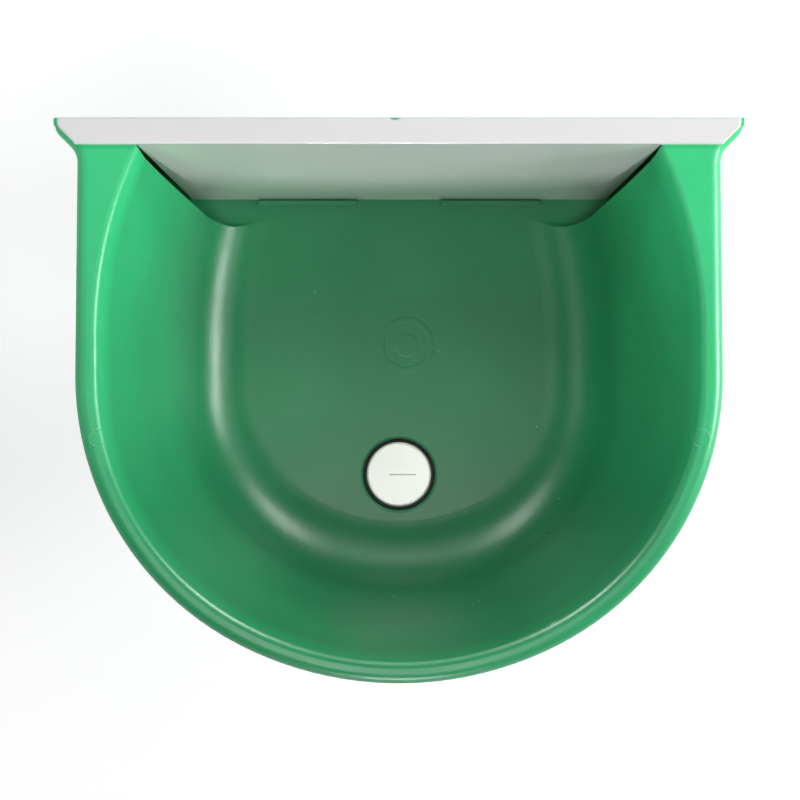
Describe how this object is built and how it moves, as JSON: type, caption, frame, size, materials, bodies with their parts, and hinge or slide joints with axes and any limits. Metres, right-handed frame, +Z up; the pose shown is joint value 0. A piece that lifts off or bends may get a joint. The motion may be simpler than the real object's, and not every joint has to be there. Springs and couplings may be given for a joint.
{
  "type": "livestock drinking bowl",
  "caption": "Wall-hung plastic drinking bowl for livestock, with a float valve behind a lift-out cover and a screw drain plug in its floor.",
  "frame": {"origin": "middle of the four wall bolts, on the wall plane", "axes": "+X to the right of someone facing the bowl, +Y into the wall, +Z up"},
  "size_m": [0.353, 0.2905, 0.1435],
  "materials": {
    "bowl_green": "glossy moulded plastic, through coloured",
    "cover_white": "glossy moulded plastic",
    "plug_white": "satin moulded plastic",
    "seal_rubber": "matt rubber",
    "steel": "plain stainless steel",
    "strainer_steel": "pressed stainless steel",
    "valve_brass": "cast and turned brass",
    "seat_brass": "turned brass",
    "screw_brass": "turned brass",
    "outlet_plastic": "black moulded plastic",
    "plunger_plastic": "white acetal",
    "lever_plastic": "white acetal",
    "float_plastic": "grey moulded foam plastic"
  },
  "bodies": {
    "bowl": {"bowl_body": "bowl_green", "valve_body": "valve_brass", "valve_seat": "seat_brass", "inlet_gasket": "seal_rubber", "inlet_washer": "steel", "inlet_nut": "valve_brass", "inlet_strainer": "strainer_steel", "outlet_tube": "outlet_plastic", "pivot_pin": "steel", "pivot_clip": "steel"},
    "cover": {"valve_cover": "cover_white"},
    "gasket": {"drain_gasket": "seal_rubber"},
    "plug": {"drain_plug": "plug_white", "drain_ring": "seal_rubber"},
    "lever": {"float_lever": "lever_plastic", "float_block": "float_plastic", "float_screw_left": "steel", "float_screw_right": "steel", "adjusting_nut": "steel"},
    "adjuster": {"adjusting_screw": "screw_brass"},
    "piston": {"plunger": "plunger_plastic", "plunger_pad": "seal_rubber", "plunger_seal": "seal_rubber"}
  },
  "joints": [
    {"name": "cover_lift", "type": "slide", "parent": "bowl", "child": "cover", "axis": [0, 0, 1], "range_m": [0, 0.115]},
    {"name": "plug_travel", "type": "slide", "parent": "bowl", "child": "gasket", "axis": [0, 0, -1], "range_m": [0, 0.01205]},
    {"name": "plug_turn", "type": "hinge", "parent": "gasket", "child": "plug", "pos_m": [0, -0.188, -0.07], "axis": [0, 0, -1], "range_deg": [0, 1080]},
    {"name": "float_swing", "type": "hinge", "parent": "bowl", "child": "lever", "pos_m": [0.068, -0.0104, 0.0245], "axis": [0, 1, 0], "range_deg": [0, 10]},
    {"name": "plunger_slide", "type": "slide", "parent": "bowl", "child": "piston", "axis": [0, 0, -1], "range_m": [0, 0.0028]},
    {"name": "level_adjust", "type": "hinge", "parent": "lever", "child": "adjuster", "pos_m": [0.0828, -0.0104, 0.0327], "axis": [-0.1736, 0, 0.9848], "range_deg": [-90, 90]}
  ],
  "couplings": [
    {"joint": "plug_travel", "follows": "plug_turn", "m_per_rad": 0.000636},
    {"joint": "plunger_slide", "follows": "float_swing", "m_per_rad": 0.0159}
  ]
}
